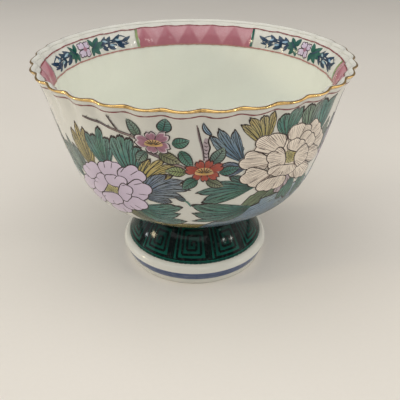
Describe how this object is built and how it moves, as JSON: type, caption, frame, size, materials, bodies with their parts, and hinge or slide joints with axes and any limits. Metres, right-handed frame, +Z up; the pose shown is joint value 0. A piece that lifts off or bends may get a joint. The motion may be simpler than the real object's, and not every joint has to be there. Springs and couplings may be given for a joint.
{
  "type": "footed porcelain bowl",
  "caption": "Deep footed porcelain bowl with a fluted, flared and gilded lip, on a hollow pedestal foot with a green enamelled bell and a blue band.",
  "frame": {"origin": "centre of the foot ring, on the surface that the bowl stands on", "axes": "+Z up along the bowl's axis, -Y towards the viewer of the picture, +X to the viewer's right"},
  "size_m": [0.1604, 0.1604, 0.1168],
  "materials": {
    "porcelain": "gloss",
    "foot_porcelain": "gloss",
    "luting_slip": "satin",
    "gilding": "polished",
    "green_enamel": "gloss",
    "cobalt_blue": "gloss",
    "pink_enamel": "gloss"
  },
  "bodies": {
    "root": {"bowl_body": "porcelain", "gilt_lip": "gilding", "luting_slip": "luting_slip", "pedestal_foot": "foot_porcelain", "green_foot_enamel": "green_enamel", "cobalt_foot_band": "cobalt_blue", "pink_panel_1": "pink_enamel", "pink_panel_2": "pink_enamel", "pink_panel_3": "pink_enamel"}
  },
  "joints": []
}
